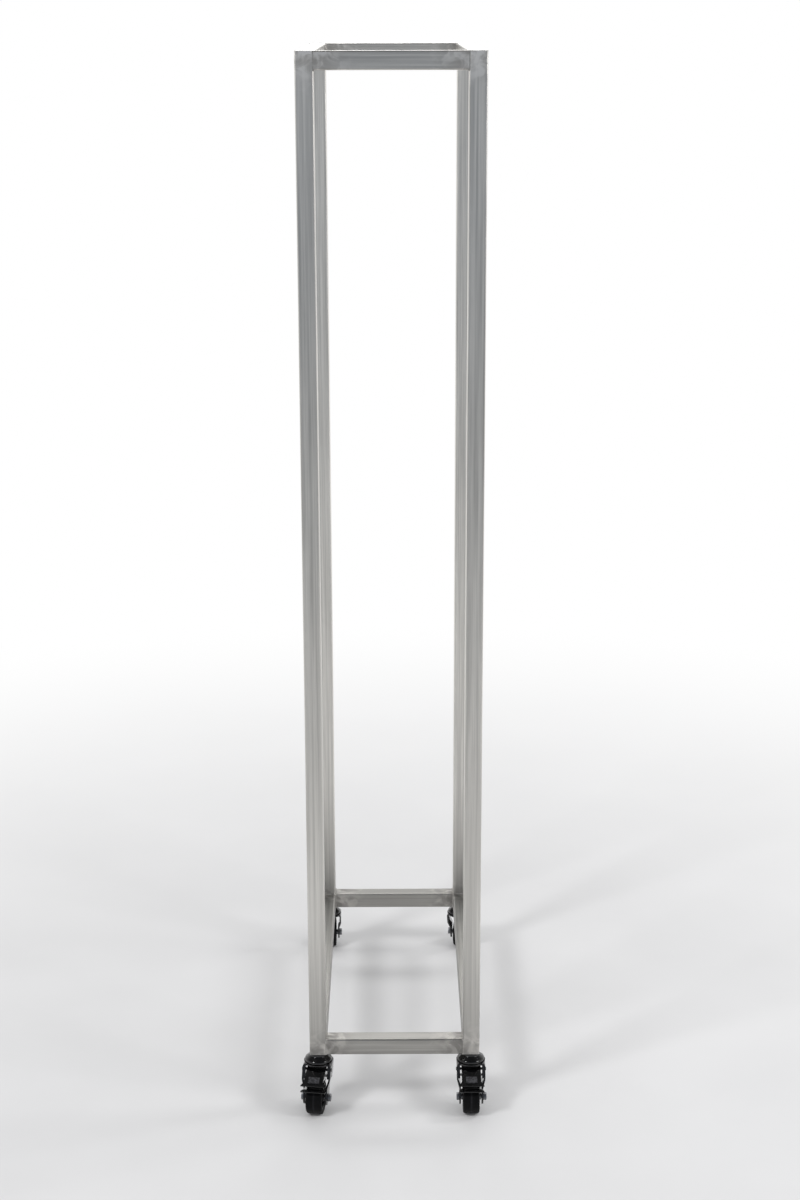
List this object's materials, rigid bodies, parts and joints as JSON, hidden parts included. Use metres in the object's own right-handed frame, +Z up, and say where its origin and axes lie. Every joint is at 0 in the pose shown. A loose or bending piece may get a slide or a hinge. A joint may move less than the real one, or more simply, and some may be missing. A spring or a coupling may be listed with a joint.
{
  "type": "firewood rack",
  "caption": "Tall narrow firewood rack: an open box frame of brushed stainless square tube on swivel casters, the front pair with toe brakes.",
  "frame": {"origin": "on the floor, below the middle of the frame", "axes": "+Z up; -Y is the narrow end with the two braked casters, which faces the viewer; +X is to the right as seen from there"},
  "size_m": [0.2822, 0.6356, 1.548],
  "materials": {
    "stainless": "stainless square tube, brushed along its length, welds ground by hand",
    "caster_steel": "pressed steel with a gloss black coating",
    "zinc_plated": "bright zinc plating",
    "wheel_rubber": "satin black moulded rubber"
  },
  "bodies": {
    "frame": {"upright_front_left": "stainless", "upright_front_right": "stainless", "upright_back_left": "stainless", "upright_back_right": "stainless", "bottom_rail_front": "stainless", "bottom_rail_back": "stainless", "bottom_rail_left": "stainless", "bottom_rail_right": "stainless", "top_rail_front": "stainless", "top_rail_back": "stainless", "top_rail_left": "stainless", "top_rail_right": "stainless", "upright_caps": "stainless", "caster_heads": "caster_steel"},
    "caster_front_left": {"fork_front_left": "caster_steel", "axle_bolt_front_left": "zinc_plated", "brake_leaf_front_left": "caster_steel", "pedal_pin_front_left": "caster_steel"},
    "wheel_front_left": {"wheel_front_left": "wheel_rubber"},
    "pedal_front_left": {"brake_pedal_front_left": "caster_steel"},
    "caster_front_right": {"fork_front_right": "caster_steel", "axle_bolt_front_right": "zinc_plated", "brake_leaf_front_right": "caster_steel", "pedal_pin_front_right": "caster_steel"},
    "wheel_front_right": {"wheel_front_right": "wheel_rubber"},
    "pedal_front_right": {"brake_pedal_front_right": "caster_steel"},
    "caster_back_left": {"fork_back_left": "caster_steel", "axle_bolt_back_left": "zinc_plated"},
    "wheel_back_left": {"wheel_back_left": "wheel_rubber"},
    "caster_back_right": {"fork_back_right": "caster_steel", "axle_bolt_back_right": "zinc_plated"},
    "wheel_back_right": {"wheel_back_right": "wheel_rubber"}
  },
  "joints": [
    {"name": "swivel_front_left", "type": "hinge", "parent": "frame", "child": "caster_front_left", "pos_m": [-0.115, -0.265, 0.074], "axis": [0, 0, 1], "continuous": true},
    {"name": "roll_front_left", "type": "hinge", "parent": "caster_front_left", "child": "wheel_front_left", "pos_m": [-0.11848, -0.28976, 0.025], "axis": [0.9903, -0.1392, 0], "continuous": true},
    {"name": "brake_front_left", "type": "hinge", "parent": "caster_front_left", "child": "pedal_front_left", "pos_m": [-0.11681, -0.27787, 0.0645], "axis": [-0.9903, 0.1392, 0], "range_deg": [0, 15]},
    {"name": "swivel_front_right", "type": "hinge", "parent": "frame", "child": "caster_front_right", "pos_m": [0.115, -0.265, 0.074], "axis": [0, 0, 1], "continuous": true},
    {"name": "roll_front_right", "type": "hinge", "parent": "caster_front_right", "child": "wheel_front_right", "pos_m": [0.115, -0.29, 0.025], "axis": [1, 0, 0], "continuous": true},
    {"name": "brake_front_right", "type": "hinge", "parent": "caster_front_right", "child": "pedal_front_right", "pos_m": [0.115, -0.278, 0.0645], "axis": [-1, 0, 0], "range_deg": [0, 15]},
    {"name": "swivel_back_left", "type": "hinge", "parent": "frame", "child": "caster_back_left", "pos_m": [-0.115, 0.265, 0.074], "axis": [0, 0, 1], "continuous": true},
    {"name": "roll_back_left", "type": "hinge", "parent": "caster_back_left", "child": "wheel_back_left", "pos_m": [-0.115, 0.29, 0.025], "axis": [-1, 0, 0], "continuous": true},
    {"name": "swivel_back_right", "type": "hinge", "parent": "frame", "child": "caster_back_right", "pos_m": [0.115, 0.265, 0.074], "axis": [0, 0, 1], "continuous": true},
    {"name": "roll_back_right", "type": "hinge", "parent": "caster_back_right", "child": "wheel_back_right", "pos_m": [0.11848, 0.28976, 0.025], "axis": [-0.9903, 0.1392, 0], "continuous": true}
  ]
}
